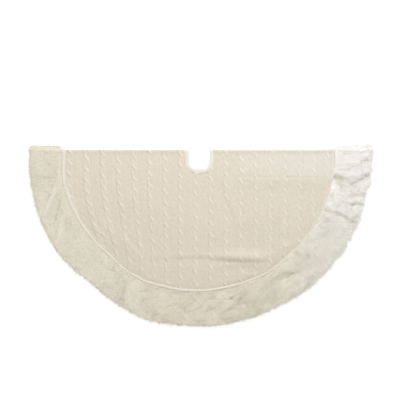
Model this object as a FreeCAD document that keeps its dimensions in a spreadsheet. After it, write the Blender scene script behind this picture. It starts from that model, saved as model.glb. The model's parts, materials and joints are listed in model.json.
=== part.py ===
import FreeCAD, Part
import math
import os
import Sketcher

# Round tree skirt of cable knit with a wide faux fur border, folded in half and lying flat.
#
# The fold lies along X at Y = 0 and the layers reach towards -Y. +Z is up, and Z = 0 is the floor.
# The front layer is one half round. The back layer under it is slit from the trunk hole to the
# outer edge, so it is two quarters, and each of them turns open about the fold line.
# Both layers are built outwards from the plane between them, at the height of the fold line:
# lining, interfacing and knit in the middle, lining and fur strips in the border.
# Lengths are in millimetres and angles in degrees.

DRIVING_SIZES = [
    ("outer_radius", 609.6),
    ("seam_radius", 481.0),
    ("round_offset", 14.5),
    ("fold_height", 7.0),
    ("fold_clearance", 0.2),
    ("slit_half_gap", 0.5),
    ("layer_gap", 1.2),
    ("lining_thickness", 0.4),
    ("interfacing_thickness", 0.4),
    ("knit_thickness", 2.8),
    ("front_pile", 13.0),
    ("front_pile_round", 6.0),
    ("back_pile_round", 2.5),
    ("piping_radius", 2.5),
    ("sewn_clearance", 0.2),
    ("hem", 2.0),
    ("hole_half_width", 36.8),
    ("hole_depth", 66.6),
    ("hole_corner", 28.0),
    ("binding_width", 14.0),
    ("binding_cloth", 0.4),
    ("facing_width", 22.0),
    ("facing_cloth", 0.4),
    ("patch_side", 25.0),
    ("patch_thickness", 1.0),
    ("patch_inset", 4.0),
    ("patch_first", 95.0),
    ("patch_pitch", 175.0),
    ("label_width", 38.0),
    ("label_length", 24.0),
    ("label_thickness", 0.3),
    ("label_inset", 40.0),
    ("label_from_fold", 200.0),
    ("fur_left_start", 175.0),
    ("fur_left_sweep", 59.3),
    ("fur_short_sweep", 7.2),
    ("fur_lower_sweep", 95.3),
    ("fur_right_sweep", 28.2),
    ("full_turn", 360.0),
    ("reach", 700.0),
]

# Sizes that follow from the driving ones, as formulas of the sheet's own cells.
DERIVED_SIZES = [
    ("panel_radius", "=seam_radius - piping_radius - sewn_clearance"),
    ("fur_inner_radius", "=seam_radius + piping_radius + sewn_clearance"),
    ("lining_radius", "=outer_radius - hem"),
    ("panel_edge", "=binding_cloth + sewn_clearance"),
    ("stack_lining", "=layer_gap"),
    ("stack_interfacing", "=stack_lining + lining_thickness"),
    ("stack_knit", "=stack_interfacing + interfacing_thickness"),
    ("stack_face", "=stack_knit + knit_thickness"),
    ("back_pile", "=fold_height - stack_interfacing"),
    ("binding_inside", "=stack_lining - binding_cloth"),
    ("binding_thickness", "=stack_face - stack_lining + 2 * binding_cloth"),
    ("cavity_thickness", "=stack_face - stack_lining"),
    ("facing_inside", "=stack_lining - facing_cloth"),
    ("facing_start", "=hole_depth + binding_width + sewn_clearance"),
    ("facing_length", "=round_offset + outer_radius - 2 * hem - facing_start"),
    ("fur_short_start", "=fur_left_start + fur_left_sweep"),
    ("fur_lower_start", "=fur_short_start + fur_short_sweep"),
    ("fur_right_start", "=fur_lower_start + fur_lower_sweep"),
]

# The front border is joined from four strips of fur. Each starts and runs as the sheet says,
# measured round from +X about the centre of the round.
FRONT_STRIPS = ["left", "short", "lower", "right"]

# The knit is stated as gores side by side, so that none of them bends round the trunk hole.
GORES = {
    "front": ["left", "mid_left", "mid_right", "right"],
    "back_left": ["left", "mid_left"],
    "back_right": ["mid_right", "right"],
}

FRONT = "front"
BACK = "back"
CLOSURES = ["inner", "middle", "outer"]
PILE_DOWN_AXIS = FreeCAD.Vector(1, 0, 0)
PILE_DOWN_TURN = 180.0

doc = FreeCAD.newDocument("tree_skirt")
sheet = doc.addObject("Spreadsheet::Sheet", "Sizes")
sub_parts = []


def fill_sheet():
    """Writes the driving sizes, then the derived ones, each with its alias."""
    for row, (alias, value) in enumerate(DRIVING_SIZES + DERIVED_SIZES, start=1):
        sheet.set(f"A{row}", alias)
        sheet.set(f"B{row}", str(value))
        sheet.setAlias(f"B{row}", alias)
    doc.recompute()


def bind(obj, **formulas):
    """Binds properties to formulas in which a word starting with @ is a cell of the sheet."""
    for prop, formula in formulas.items():
        path = prop.replace("__", ".")
        obj.setExpression(path, formula.replace("@", "Sizes."))


def place(obj, x="0", y="0", z="0"):
    bind(obj, Placement__Base__x=x, Placement__Base__y=y, Placement__Base__z=z)


def level(layer, stack, thickness):
    """Height of the low side of cloth that lies `stack` out from the middle plane."""
    if layer == FRONT:
        return f"@fold_height + {stack}"
    return f"@fold_height - ({stack}) - ({thickness})"


def box(name, x, y, z, length, width, height):
    made = doc.addObject("Part::Box", name)
    bind(made, Length=length, Width=width, Height=height)
    place(made, x, y, z)
    return made


def disc(name, radius, z, height):
    made = doc.addObject("Part::Cylinder", name)
    bind(made, Radius=radius, Height=height)
    place(made, "0", "-@round_offset", z)
    return made


def join(kind, name, base, tool):
    """A boolean of two objects: kind is Common or Cut."""
    made = doc.addObject(f"Part::{kind}", name)
    made.Base = base
    made.Tool = tool
    return made


def finish(obj, label):
    """Gives a sub-part its label, which names its node and file."""
    obj.Label = label
    sub_parts.append(obj)
    return obj


def windows():
    """The room of each moving body: behind the fold line, and on its own side of the slit."""
    height = "@reach"
    z = "-@reach / 2"
    depth = "@reach - @fold_clearance"
    half = "@reach - @slit_half_gap"
    return {
        "front": box("FrontRoom", "-@reach", "-@reach", z, "2 * @reach", depth, height),
        "back_left": box("LeftRoom", "-@reach", "-@reach", z, half, depth, height),
        "back_right": box("RightRoom", "@slit_half_gap", "-@reach", z, half, depth, height),
    }


def gore_rooms():
    """The room of each gore of the knit, from the X of its low side and its width."""
    beside = "@reach - @hole_half_width"
    rows = {
        "left": ("-@reach", beside),
        "mid_left": ("-@hole_half_width", "@hole_half_width"),
        "mid_right": ("0", "@hole_half_width"),
        "right": ("@hole_half_width", beside),
    }
    return {
        gore: box(f"{gore}_gore", x, "-@reach", "-@reach / 2", width, "@reach", "@reach")
        for gore, (x, width) in rows.items()
    }


def size(alias):
    """The sheet's number, to draw a sketch near its final shape before it is bound."""
    return float(sheet.get(alias))


def origin_plane(body, role):
    return next(f for f in body.Origin.OriginFeatures if f.Role == role)


def new_sketch(body, name, role):
    sketch = body.newObject("Sketcher::SketchObject", name)
    sketch.AttachmentSupport = [(origin_plane(body, role), "")]
    sketch.MapMode = "FlatFace"
    return sketch


def chain(sketch, corners, arcs):
    """Closed outline through the corners. `arcs` maps a side's number to its arc's centre and
    the two angles in quarter turns; the other sides are straight and level or upright."""
    quarter = math.pi / 2
    count = len(corners)
    for side, start in enumerate(corners):
        end = corners[(side + 1) % count]
        if side in arcs:
            (centre_x, centre_y), radius, first, last = arcs[side]
            circle = Part.Circle()
            circle.Center = FreeCAD.Vector(centre_x, centre_y, 0)
            circle.Radius = radius
            sketch.addGeometry(Part.ArcOfCircle(circle, first * quarter, last * quarter))
        else:
            low = FreeCAD.Vector(start[0], start[1], 0)
            high = FreeCAD.Vector(end[0], end[1], 0)
            sketch.addGeometry(Part.LineSegment(low, high))
            upright = abs(start[0] - end[0]) < abs(start[1] - end[1])
            sketch.addConstraint(Sketcher.Constraint("Vertical" if upright else "Horizontal", side))


def tie(sketch, ends):
    """Joins sides end to end; a pair with an arc in it is tangent there."""
    for first, first_end, second, second_end, smooth in ends:
        kind = "Tangent" if smooth else "Coincident"
        sketch.addConstraint(Sketcher.Constraint(kind, first, first_end, second, second_end))


def measure(sketch, kind, where, value, name, formula):
    """A driving dimension of the sketch, bound to the sheet."""
    index = sketch.addConstraint(Sketcher.Constraint(kind, *where, value))
    sketch.renameConstraint(index, name)
    bind(sketch, **{f"Constraints__{name}": formula})


def hole_tool(name, grown, z, height):
    """The half trunk hole: a U open at the fold, its edge moved outwards by `grown`."""
    body = doc.addObject("PartDesign::Body", name)
    sketch = new_sketch(body, f"{name}Outline", "XY_Plane")
    half, depth = size("hole_half_width"), size("hole_depth")
    corner = size("hole_corner")
    top = corner
    corners = [
        (-half, top), (-half, corner - depth), (corner - half, -depth),
        (half - corner, -depth), (half, corner - depth), (half, top),
    ]
    arcs = {
        1: ((corner - half, corner - depth), corner, 2, 3),
        3: ((half - corner, corner - depth), corner, 3, 4),
    }
    chain(sketch, corners, arcs)
    tie(sketch, [
        (0, 2, 1, 1, True), (1, 2, 2, 1, True), (2, 2, 3, 1, True),
        (3, 2, 4, 1, True), (4, 2, 5, 1, False), (5, 2, 0, 1, False),
    ])
    sketch.addConstraint(Sketcher.Constraint("Equal", 1, 3))
    measure(sketch, "Radius", (1,), corner, "corner", f"@hole_corner + {grown}")
    measure(sketch, "DistanceX", (0, 1, -1, 1), half, "left", f"@hole_half_width + {grown}")
    measure(sketch, "DistanceX", (-1, 1, 4, 2), half, "right", f"@hole_half_width + {grown}")
    measure(sketch, "DistanceY", (2, 1, -1, 1), depth, "depth", f"@hole_depth + {grown}")
    measure(sketch, "DistanceY", (-1, 1, 0, 1), top, "past_fold", "@hole_corner")
    pad = body.newObject("PartDesign::Pad", f"{name}Pad")
    pad.Profile = sketch
    bind(pad, Length=height)
    place(body, "0", "0", z)
    return body


def fur_ring(name, pile, pile_round, sweep):
    """A strip of fur revolved about the centre of the round, its outer and inner top edges
    rounded where the pile curls over."""
    body = doc.addObject("PartDesign::Body", name)
    sketch = new_sketch(body, f"{name}Section", "XZ_Plane")
    inner, outer = size("fur_inner_radius"), size("outer_radius")
    high, bend = size("back_pile"), size("back_pile_round")
    corners = [
        (inner, 0), (outer, 0), (outer, high - bend),
        (outer - bend, high), (inner + bend, high), (inner, high - bend),
    ]
    arcs = {
        2: ((outer - bend, high - bend), bend, 0, 1),
        4: ((inner + bend, high - bend), bend, 1, 2),
    }
    chain(sketch, corners, arcs)
    tie(sketch, [
        (0, 2, 1, 1, False), (1, 2, 2, 1, True), (2, 2, 3, 1, True),
        (3, 2, 4, 1, True), (4, 2, 5, 1, True), (5, 2, 0, 1, False),
    ])
    sketch.addConstraint(Sketcher.Constraint("Equal", 2, 4))
    sketch.addConstraint(Sketcher.Constraint("PointOnObject", 0, 1, -1))
    measure(sketch, "Radius", (2,), bend, "bend", pile_round)
    measure(sketch, "DistanceX", (-1, 1, 0, 1), inner, "inner", "@fur_inner_radius")
    measure(sketch, "DistanceX", (-1, 1, 0, 2), outer, "outer", "@outer_radius")
    measure(sketch, "DistanceY", (0, 1, 3, 1), high, "high", pile)
    turned = body.newObject("PartDesign::Revolution", f"{name}Turn")
    turned.Profile = sketch
    turned.ReferenceAxis = (sketch, ["V_Axis"])
    bind(turned, Angle=sweep)
    return body


def cloth_panel(room, title, layer, radius, stack, thickness):
    """A flat panel of cloth: a disc kept to its body's room, with the trunk hole cut out."""
    low = level(layer, stack, thickness)
    whole = disc(f"{title}_disc", radius, low, thickness)
    kept = join("Common", f"{title}_room", whole, room)
    hole = hole_tool(f"{title}_hole", "@panel_edge", "-@reach / 2", "@reach")
    return join("Cut", title, kept, hole)


def panels(room, body_name, layer, gores):
    """Lining, interfacing and knit, from the middle plane outwards."""
    lining = cloth_panel(room, f"{body_name}_lining", layer,
                         "@lining_radius", "@stack_lining", "@lining_thickness")
    finish(lining, f"{body_name}_lining")
    interfacing = cloth_panel(room, f"{body_name}_interfacing", layer,
                              "@panel_radius", "@stack_interfacing", "@interfacing_thickness")
    finish(interfacing, f"{body_name}_interfacing")
    knit = cloth_panel(room, f"{body_name}_knit", layer,
                       "@panel_radius", "@stack_knit", "@knit_thickness")
    for gore in GORES[body_name]:
        title = f"{body_name}_knit_{gore}"
        finish(join("Common", title, knit, gores[gore]), title)


def piping(room, body_name, layer):
    """The round piping sewn between the knit and the fur."""
    title = f"{body_name}_piping"
    ring = doc.addObject("Part::Torus", f"{title}_ring")
    bind(ring, Radius1="@seam_radius", Radius2="@piping_radius")
    low = level(layer, "@stack_interfacing", "2 * @piping_radius")
    place(ring, "0", "-@round_offset", f"{low} + @piping_radius")
    finish(join("Common", title, ring, room), title)


def hole_binding(room, body_name, layer):
    """Binding folded over the edge of the trunk hole, gripping the panels' edges in its groove."""
    title = f"{body_name}_hole_binding"
    low = level(layer, "@binding_inside", "@binding_thickness")
    groove_low = level(layer, "@stack_lining", "@cavity_thickness")
    band = hole_tool(f"{title}_band", "@binding_width", low, "@binding_thickness")
    opening = hole_tool(f"{title}_opening", "0", "-@reach / 2", "@reach")
    folded = join("Cut", f"{title}_folded", join("Common", f"{title}_room", band, room), opening)
    beyond = hole_tool(f"{title}_beyond", "@binding_width + @hem", groove_low, "@cavity_thickness")
    edge = hole_tool(f"{title}_edge", "@binding_cloth", "-@reach / 2", "@reach")
    groove = join("Cut", f"{title}_groove", beyond, edge)
    finish(join("Cut", title, folded, groove), title)


def front_fur(room):
    """The strips of the front border, pile up, joined end to end."""
    for spot in FRONT_STRIPS:
        title = f"front_fur_{spot}"
        strip = fur_ring(f"{title}_strip", "@front_pile", "@front_pile_round", f"@fur_{spot}_sweep")
        bind(strip, Placement__Rotation__Angle=f"@fur_{spot}_start")
        place(strip, "0", "-@round_offset", level(FRONT, "@stack_interfacing", "@front_pile"))
        finish(join("Common", title, strip, room), title)


def back_fur(room, body_name):
    """The border of one back quarter, pile down and pressed flat on the floor."""
    title = f"{body_name}_fur"
    strip = fur_ring(f"{title}_strip", "@back_pile", "@back_pile_round", "@full_turn")
    strip.Placement.Rotation = FreeCAD.Rotation(PILE_DOWN_AXIS, PILE_DOWN_TURN)
    place(strip, "0", "-@round_offset", "@fold_height - @stack_interfacing")
    finish(join("Common", title, strip, room), title)


def beside_slit(side, inset, width):
    """X of the low side of a piece `inset` from the slit: side is -1 on the left, 1 on the right."""
    if side < 0:
        return f"-@slit_half_gap - ({inset}) - ({width})"
    return f"@slit_half_gap + {inset}"


def slit_facing(body_name, side):
    """A strip of cloth that faces the slit's edge on the lining side."""
    title = f"{body_name}_slit_facing"
    x = beside_slit(side, "0", "@facing_width")
    y = "-@facing_start - @facing_length"
    z = level(BACK, "@facing_inside", "@facing_cloth")
    made = box(title, x, y, z, "@facing_width", "@facing_length", "@facing_cloth")
    finish(made, title)


def closure_patches(kind, side, z):
    """Squares of hook or loop tape along the slit."""
    for number, spot in enumerate(CLOSURES):
        title = f"{kind}_patch_{spot}"
        x = beside_slit(side, "@patch_inset", "@patch_side")
        y = f"-@patch_first - @patch_side - {number} * @patch_pitch"
        finish(box(title, x, y, z, "@patch_side", "@patch_side", "@patch_thickness"), title)


def care_label():
    """A blank label sewn flat on the lining of the left quarter, beside the slit."""
    x = beside_slit(-1, "@label_inset", "@label_width")
    y = "-@label_from_fold - @label_length"
    z = level(BACK, "@stack_lining - @label_thickness", "@label_thickness")
    made = box("care_label", x, y, z, "@label_width", "@label_length", "@label_thickness")
    finish(made, "care_label")


def front_half(rooms, gores):
    panels(rooms["front"], "front", FRONT, gores)
    piping(rooms["front"], "front", FRONT)
    hole_binding(rooms["front"], "front", FRONT)
    front_fur(rooms["front"])


def back_quarters(rooms, gores):
    for body_name, side in (("back_left", -1), ("back_right", 1)):
        panels(rooms[body_name], body_name, BACK, gores)
        piping(rooms[body_name], body_name, BACK)
        hole_binding(rooms[body_name], body_name, BACK)
        back_fur(rooms[body_name], body_name)
        slit_facing(body_name, side)
    closure_patches("loop", -1, level(BACK, "@stack_face", "@patch_thickness"))
    closure_patches("hook", 1, "@fold_height - @facing_inside")
    care_label()


def check(objects):
    """Stops on any object that failed, and on any sub-part with no sound shape."""
    for obj in doc.Objects:
        if "Invalid" in obj.State or "Error" in obj.State:
            raise RuntimeError(f"{obj.Name} failed: {obj.State}")
    for obj in objects:
        shape = obj.Shape
        if shape.isNull() or not shape.isValid() or not shape.Solids:
            raise RuntimeError(f"{obj.Label} has no sound solid")


def export(objects):
    os.makedirs("parts", exist_ok=True)
    for obj in objects:
        obj.Shape.exportStep(f"parts/{obj.Label}.step")
        low, high = obj.Shape.BoundBox.ZMin, obj.Shape.BoundBox.ZMax
        print(f"{obj.Label}: {obj.Shape.Volume:.0f} mm3, {low:.2f} to {high:.2f} high")


fill_sheet()
body_rooms = windows()
gores = gore_rooms()
front_half(body_rooms, gores)
back_quarters(body_rooms, gores)
doc.recompute()
check(sub_parts)
export(sub_parts)
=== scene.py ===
"""Looks of the round cable-knit tree skirt with a faux fur border, folded in half on the floor.

Every piece is first laid out flat: x along the fold line, y towards it (0 on the fold), and a
height above the middle plane between the two layers. lay() then puts it in place, turned over
the fold where it comes near it, upwards for the front layer and downwards for the back one.
Lengths are in metres.
"""

import json
import math

import bpy
import numpy as np
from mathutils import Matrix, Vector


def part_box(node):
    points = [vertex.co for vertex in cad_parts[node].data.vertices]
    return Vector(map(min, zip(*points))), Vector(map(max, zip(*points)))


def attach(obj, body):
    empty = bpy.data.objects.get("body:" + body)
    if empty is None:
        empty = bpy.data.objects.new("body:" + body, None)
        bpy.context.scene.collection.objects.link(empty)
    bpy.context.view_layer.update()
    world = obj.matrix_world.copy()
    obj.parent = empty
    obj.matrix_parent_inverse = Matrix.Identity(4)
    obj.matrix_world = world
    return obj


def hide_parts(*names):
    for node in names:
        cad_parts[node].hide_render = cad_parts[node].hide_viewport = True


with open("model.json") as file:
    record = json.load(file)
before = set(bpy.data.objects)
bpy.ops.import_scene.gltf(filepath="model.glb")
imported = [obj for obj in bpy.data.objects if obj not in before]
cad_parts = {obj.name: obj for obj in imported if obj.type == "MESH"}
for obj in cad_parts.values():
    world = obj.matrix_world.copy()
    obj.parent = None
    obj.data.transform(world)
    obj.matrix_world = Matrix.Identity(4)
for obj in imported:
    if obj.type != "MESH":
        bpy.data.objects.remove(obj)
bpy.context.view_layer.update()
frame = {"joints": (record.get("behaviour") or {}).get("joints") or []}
MM = 0.001

# ---- sizes that the part is built on, and those read from the frame ----
HEM = 2 * MM
BINDING = 14 * MM
HOLE_CORNER = 28 * MM
FOLD_Z = frame["joints"][0]["pos_m"][2]
LINING_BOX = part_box("front_lining")
PIPING_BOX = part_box("front_piping")
BINDING_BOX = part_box("front_hole_binding")
OFFSET = -LINING_BOX[0].y - LINING_BOX[1].x
OUTER = -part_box("front_fur_lower")[0].y - OFFSET
PIPE = (PIPING_BOX[1].z - PIPING_BOX[0].z) / 2
SEAM = PIPING_BOX[1].x - PIPE
GAP = LINING_BOX[0].z - FOLD_Z
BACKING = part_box("front_fur_lower")[0].z - FOLD_Z
HOLE_HALF = BINDING_BOX[1].x - BINDING
HOLE_DEPTH = -BINDING_BOX[0].y - BINDING
SLIT = -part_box("back_left_lining")[1].x

# ---- the layers ----
FRONT, BACK = 1, -1
FOLD_BEND = 3 * MM
KNIT_REST = 3.4 * MM
KNIT_LEAST = 2.2 * MM
# The back layer stops just above the floor, and its outer edge is drawn in under the front one.
BACK_MOST = FOLD_Z - 0.2 * MM
BACK_DRAWN_IN = 5 * MM
SIDES = {
    "front": {"body": "front_half", "layer": FRONT, "low_x": -OUTER, "high_x": OUTER,
              "gores": ("left", "mid_left", "mid_right", "right")},
    "back_left": {"body": "back_left_quarter", "layer": BACK, "low_x": -OUTER, "high_x": -SLIT,
                  "gores": ("left", "mid_left")},
    "back_right": {"body": "back_right_quarter", "layer": BACK, "low_x": SLIT, "high_x": OUTER,
                   "gores": ("mid_right", "right")},
}

# ---- the knit ----
# Cables stand CABLE_PITCH apart, which changes by CABLE_SPREAD for each metre to the right. The
# two strands of a cable swing out by CABLE_SWING and cross twice in each CABLE_TURN.
CABLE_START = -12 * MM
CABLE_PITCH = 53.6 * MM
CABLE_SPREAD = -3.2 * MM
CABLE_TURN = 78 * MM
CABLE_SWING = 5.4 * MM
CABLE_SNAP = 2.2
CABLE_LAG = 0.35
CABLE_DRAG = 0.24
STRAND = 5.4 * MM
STRAND_RISE = 1.3 * MM
OVER_RISE = 1.7 * MM
UNDER_DROP = 0.6 * MM
CABLE_TOP = STRAND_RISE + OVER_RISE
GUTTER_OFF = 12.5 * MM
GUTTER_WIDTH = 2 * MM
GUTTER_DEPTH = 0.8 * MM
RIB_PITCH = 6.6 * MM
RIB_RISE = 0.2 * MM
STITCH_WIDTH = 5.0 * MM
STITCH_HEIGHT = 4.6 * MM
STITCH_SLANT = -1.8

# Creases of the knit and pleats of the fur: from x, y to x, y, half width, height in mm.
# A positive height is a ridge and a negative one a valley.
KNIT_CREASES = [
    (0.062, -0.094, 0.455, -0.097, 4, -0.9),
    (-0.174, -0.391, 0.240, -0.395, 9, -4.2),
    (-0.420, -0.200, -0.170, -0.420, 30, 3.0),
    (0.080, -0.420, 0.215, -0.422, 16, -2.0),
    (-0.170, -0.369, 0.240, -0.369, 10, 1.8),
    (0.065, -0.377, 0.255, -0.380, 21, 9.5),
    (0.290, -0.345, 0.330, -0.335, 9, 1.8),
    (-0.015, -0.207, 0.060, -0.207, 3, -0.9),
    (0.059, -0.110, 0.115, -0.281, 15, -3.0),
    (0.115, -0.281, 0.130, -0.335, 15, -1.6),
    (0.090, -0.110, 0.150, -0.281, 15, 2.0),
    (0.267, -0.313, 0.327, -0.313, 13, -1.6),
    (0.129, -0.422, 0.182, -0.443, 5, 1.2),
    (-0.400, -0.246, -0.325, -0.313, 6, 1.5),
    (-0.375, -0.240, -0.300, -0.325, 7, -1.3),
    (-0.280, -0.302, -0.209, -0.373, 5, 1.4),
    (-0.262, -0.292, -0.188, -0.380, 5, -1.4),
    (-0.283, -0.175, -0.262, -0.225, 5, 1.2),
    (-0.455, -0.096, -0.425, -0.096, 6, -1.2),
]
FUR_CREASES = [
    (-0.482, -0.114, -0.539, -0.220, 6, 5.5),
    (-0.470, -0.158, -0.512, -0.264, 6, -4.0),
    (-0.487, -0.193, -0.523, -0.267, 5, 4.0),
    (-0.462, -0.211, -0.500, -0.329, 7, 4.2),
    (-0.478, -0.202, -0.456, -0.281, 7, -2.4),
    (-0.586, -0.098, -0.473, -0.095, 6, -1.8),
    (-0.325, -0.419, -0.283, -0.419, 7, -4.0),
    (-0.329, -0.457, -0.360, -0.528, 5, -2.6),
    (-0.251, -0.447, -0.279, -0.563, 5, -2.6),
    (0.464, -0.093, 0.508, -0.106, 11, -7.0),
    (0.482, -0.108, 0.503, -0.137, 9, -3.2),
    (0.503, -0.137, 0.560, -0.100, 9, -3.2),
    (0.513, -0.091, 0.601, -0.066, 8, 3.2),
    (0.530, -0.120, 0.601, -0.077, 8, -2.0),
    (0.503, -0.052, 0.591, -0.017, 8, 2.2),
    (0.503, -0.072, 0.595, -0.040, 7, -1.8),
    (0.474, -0.124, 0.478, -0.158, 13, 9.0),
    (0.513, -0.176, 0.580, -0.176, 6, 2.8),
    (0.513, -0.158, 0.580, -0.160, 6, -2.4),
    (0.513, -0.190, 0.580, -0.192, 6, -2.4),
    (0.446, -0.209, 0.505, -0.228, 9, -4.2),
    (0.495, -0.224, 0.552, -0.260, 9, -4.2),
    (0.460, -0.240, 0.466, -0.252, 12, 3.0),
    (0.462, -0.335, 0.474, -0.347, 15, 3.0),
    (0.370, -0.373, 0.390, -0.373, 13, -3.2),
    (0.335, -0.369, 0.353, -0.369, 10, -2.2),
    (0.249, -0.493, 0.432, -0.405, 11, 3.0),
    (0.267, -0.464, 0.351, -0.429, 11, -3.0),
]

# ---- how the real edges stray from a true circle: station in degrees, shift outwards in mm ----
SEAM_DRIFT = [
    (0, 3), (12, 11), (24, 8), (36, 3), (45, -2), (54, 1), (66, 9), (75, 4),
    (90, 3), (105, -1), (120, 1), (132, -5), (150, -5), (180, -3),
]
EDGE_DRIFT = [
    (0, -7), (12, -3), (24, 1), (36, 1), (50, -13), (62, -3), (72, 7), (84, 0), (100, 2),
    (115, -3), (130, 5), (138, 3), (141, 1), (145, 8), (152, 3), (157, 7), (160, 0), (162, 6),
    (165, -3), (168, -8), (170, 10), (173, 3), (180, 5),
]
# How far the pile bulges past the fold: x in metres, reach in mm.
FOLD_REACH = [
    (-0.610, 7), (-0.486, 7), (-0.480, 0), (0.400, 0), (0.478, 5), (0.540, 7), (0.570, 14),
    (0.610, 14),
]
# Half width of the front's piping in mm by station: narrow where the fur hangs over it.
PIPING_WIDTH = [
    (0, 8.0), (12, 7.5), (34, 7.0), (40, 4.5), (45, 4.5), (49, 6.0), (54, 3.5), (59, 3.5), (64, 5.5),
    (95, 5.0), (125, 3.2), (135, 2.7), (180, 2.7),
]

# ---- the sewing ----
PIPING_AROUND = 12
# Section of the hole's binding in mm, distance from the hole's edge and height: from the raw
# edge on the outer face, over the line of stitches and round the hole to the lining.
BINDING_SECTION = [
    (14.2, 3.3), (13.6, 4.2), (12.4, 4.45), (11.0, 3.95), (9.6, 4.7), (7.0, 5.0), (4.0, 5.05),
    (1.6, 4.7), (0.4, 3.9), (0.0, 3.0), (0.4, 2.0), (1.6, 1.2), (5.0, 0.95), (12.0, 0.95),
]
# The binding's cloth is this many times as wide as the binding looks on one face.
SEWN_OFF = 11 * MM
# A stitch: rings along it, as share of the pitch and share of the thread's size.
THREAD_RINGS = [(0.0, 0.15), (0.12, 0.8), (0.35, 1.0), (0.6, 0.8), (0.72, 0.15)]
THREAD_AROUND = 6
THREAD_PITCH = 5.0 * MM
THREAD_SIZE = 0.5 * MM
# A square of tape: rings from its rim to near its middle, as share of its size and thickness.
TAPE_SECTION = [
    (1.0, 0.0), (1.0, 0.7), (0.97, 0.95), (0.88, 0.80), (0.80, 1.0), (0.55, 0.97), (0.28, 1.0),
]
TAPE_AROUND = 48
TAPE_CORNER = 2 / 9  # power of the superellipse that rounds its corners

# ---- the fur ----
# Strips by station: 0 is the left end of the round's diameter, 90 the point farthest from the
# fold, 180 the right end, and the short straight ends take up STRAIGHT more on each side.
# `turn` swings the nap off the radius, and `paler` makes the strip's hairs paler.
STRAIGHT = 1.5
FRONT_STRIPS = {
    "front_fur_left": {"start": -STRAIGHT, "stop": 54.3, "turn": 0.35, "paler": 0},
    "front_fur_short": {"start": 54.3, "stop": 61.5, "turn": -0.5, "paler": 0.15},
    "front_fur_lower": {"start": 61.5, "stop": 156.8, "turn": 0.25, "paler": 0},
    "front_fur_right": {"start": 156.8, "stop": 180 + STRAIGHT, "turn": -0.3, "paler": 0},
}
SLIT_STATIONS = math.degrees(SLIT / OUTER)
BACK_STRIPS = {
    "back_left_fur": {"start": -STRAIGHT, "stop": 90 - SLIT_STATIONS, "turn": 0.2, "paler": 0},
    "back_right_fur": {"start": 90 + SLIT_STATIONS, "stop": 180 + STRAIGHT, "turn": -0.2, "paler": 0},
}
STRIP_STEP = 3 * MM
FOLD_STATIONS = 0.4
FUR_INNER = SEAM
FUR_OUTER = OUTER - 8 * MM
# Shares of the border's width that are rounded at its inner and outer side.
INNER_ROUND = 0.10
OUTER_ROUND = 0.15
FRONT_PILE = 9.5 * MM
BACK_PILE = 4.0 * MM
LEAST_PILE = 0.5 * MM
PLEAT_DEPTH = 1.4
# The front's pile is pressed down ever more towards this height above its backing.
FRONT_ROOM = 17 * MM
HAIRS_PER_M2 = {FRONT: 560_000, BACK: 260_000}
HAIR_LENGTH = 16 * MM
HAIR_WIDTH = 1.2 * MM
# Hairs start ROOT_DEPTH under their roots' height, and the body's top lies a little above that.
ROOT_DEPTH = 0.8 * MM
ROOTS_OVER_BODY = 0.7 * MM
HAIR_LIMITS = {FRONT: (0.2 * MM - FOLD_Z, 24 * MM), BACK: (1.3 * MM, BACK_MOST)}
CLUMP = 11 * MM
FOLD_WRAP = 25 * MM
NOISE_TABLE = 97

# ---- colours ----
YARN_DEEP, YARN_MIDDLE = (0.590, 0.505, 0.387, 1), (0.645, 0.560, 0.445, 1)
# The second colour on the next line is a painted highlight, laid on the tops of the cables' crossings
# and on the stitches' loops.
YARN_FLECK, YARN_HIGHLIGHT = (0.795, 0.725, 0.605, 1), (0.880, 0.825, 0.715, 1)
# Painted light: the pale, cool yarn of the upper right near the fold.
YARN_UPPER_RIGHT_LIGHT = (0.740, 0.735, 0.700, 1)
UNDERFUR_DEEP, UNDERFUR_MIDDLE = (0.840, 0.785, 0.670, 1), (0.870, 0.825, 0.730, 1)
UNDERFUR_HIGHLIGHT = (0.900, 0.865, 0.790, 1)
ROOT_DEEP, ROOT_LIGHT = (0.780, 0.705, 0.550, 1), (0.880, 0.810, 0.670, 1)
TIP_DEEP, TIP_LIGHT = (0.850, 0.795, 0.655, 1), (0.915, 0.865, 0.745, 1)
HAIR_PALE = (0.990, 0.965, 0.920, 1)
LINING_DEEP, LINING_LIGHT = (0.76, 0.72, 0.63, 1), (0.80, 0.77, 0.69, 1)
BINDING_DEEP, BINDING_LIGHT = (0.76, 0.70, 0.59, 1), (0.80, 0.75, 0.65, 1)
LABEL_DEEP, LABEL_LIGHT = (0.84, 0.84, 0.82, 1), (0.87, 0.87, 0.85, 1)
WEAVE_HIGHLIGHT = (0.90, 0.87, 0.80, 1)
THREAD_SHADE, THREAD_HIGHLIGHT = (0.80, 0.75, 0.64, 1), (0.88, 0.84, 0.75, 1)
PIPING_SHADE, PIPING_HIGHLIGHT = (0.68, 0.62, 0.54, 1), (0.81, 0.76, 0.68, 1)
TAPE_SHADE, TAPE_HIGHLIGHT = (0.74, 0.73, 0.70, 1), (0.86, 0.85, 0.82, 1)
FLOOR_COLOUR = (0.30, 0.30, 0.30, 1)


# ======== shapes in numbers ========

def smooth_noise(x, y, size, seed):
    """Smooth noise from -1 to 1 that changes over `size` metres."""
    table = np.random.default_rng(seed).uniform(-1, 1, (NOISE_TABLE, NOISE_TABLE))
    u, v = x / size, y / size
    i, j = np.floor(u).astype(int), np.floor(v).astype(int)
    f, g = u - i, v - j
    f, g = f * f * (3 - 2 * f), g * g * (3 - 2 * g)
    i, j = i % NOISE_TABLE, j % NOISE_TABLE
    k, m = (i + 1) % NOISE_TABLE, (j + 1) % NOISE_TABLE
    low = table[i, j] * (1 - f) + table[k, j] * f
    high = table[i, m] * (1 - f) + table[k, m] * f
    return low * (1 - g) + high * g


def ramp(value, low, high):
    """0 below low, 1 above high, and smooth between."""
    t = np.clip((value - low) / (high - low), 0, 1)
    return t * t * (3 - 2 * t)


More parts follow.
